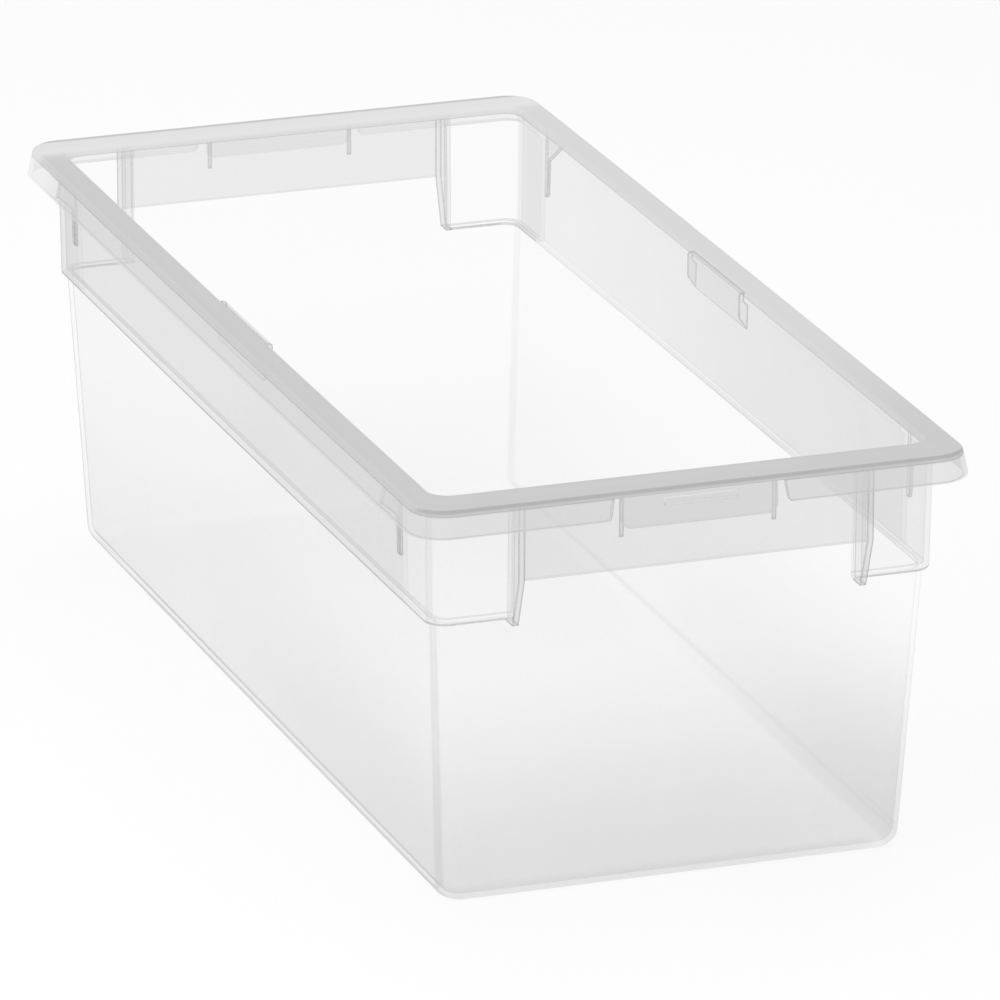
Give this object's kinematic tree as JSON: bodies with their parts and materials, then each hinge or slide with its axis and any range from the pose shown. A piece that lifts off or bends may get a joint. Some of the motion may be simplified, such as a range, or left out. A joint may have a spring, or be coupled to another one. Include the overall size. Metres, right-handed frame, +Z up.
{
  "type": "stackable storage bin",
  "caption": "Open-topped clear plastic shelf bin with a rolled rim, thick rim band, grip panels between fins at both ends and flexing snap tabs for a lid.",
  "frame": {"origin": "centre of the bin's footprint on the plane it rests on", "axes": "+Z up, +Y along the length from the front end to the rear end, +X across the width to the right seen from the front end"},
  "size_m": [0.181, 0.4008, 0.133],
  "materials": {
    "clear_plastic": "translucent natural polypropylene, smooth with a faint frosting",
    "rim_plastic": "the same natural polypropylene, denser looking where the rim is thick"
  },
  "bodies": {
    "bin": {"tub_lower": "clear_plastic", "side_band_left": "clear_plastic", "side_band_right": "clear_plastic", "corner_block_front_left": "clear_plastic", "corner_block_front_right": "clear_plastic", "corner_block_rear_left": "clear_plastic", "corner_block_rear_right": "clear_plastic", "end_wall_front": "clear_plastic", "end_wall_rear": "clear_plastic", "rim_flange": "rim_plastic", "rim_skirt_left": "rim_plastic", "rim_skirt_right": "rim_plastic", "end_fin_front_left": "clear_plastic", "end_fin_front_right": "clear_plastic", "end_fin_rear_left": "clear_plastic", "end_fin_rear_right": "clear_plastic", "grip_panel_front": "clear_plastic", "grip_panel_rear": "clear_plastic", "tab_stop_rib_front_left": "clear_plastic", "tab_stop_rib_front_right": "clear_plastic", "tab_stop_rib_rear_left": "clear_plastic", "tab_stop_rib_rear_right": "clear_plastic", "gusset_front_left": "clear_plastic", "gusset_front_right": "clear_plastic", "gusset_rear_left": "clear_plastic", "gusset_rear_right": "clear_plastic", "side_stop_left": "clear_plastic", "side_stop_right": "clear_plastic"},
    "front_tab": {"snap_tab_front": "rim_plastic", "catch_bar_front": "rim_plastic"},
    "rear_tab": {"snap_tab_rear": "rim_plastic", "catch_bar_rear": "rim_plastic"}
  },
  "joints": [
    {"name": "front_tab_flex", "type": "hinge", "parent": "bin", "child": "front_tab", "pos_m": [0, -0.19845, 0.13019], "axis": [-1, 0, 0], "range_deg": [-4, 8], "stiffness_Nm_per_rad": 0.15},
    {"name": "rear_tab_flex", "type": "hinge", "parent": "bin", "child": "rear_tab", "pos_m": [0, 0.19845, 0.13019], "axis": [1, 0, 0], "range_deg": [-4, 8], "stiffness_Nm_per_rad": 0.15}
  ]
}
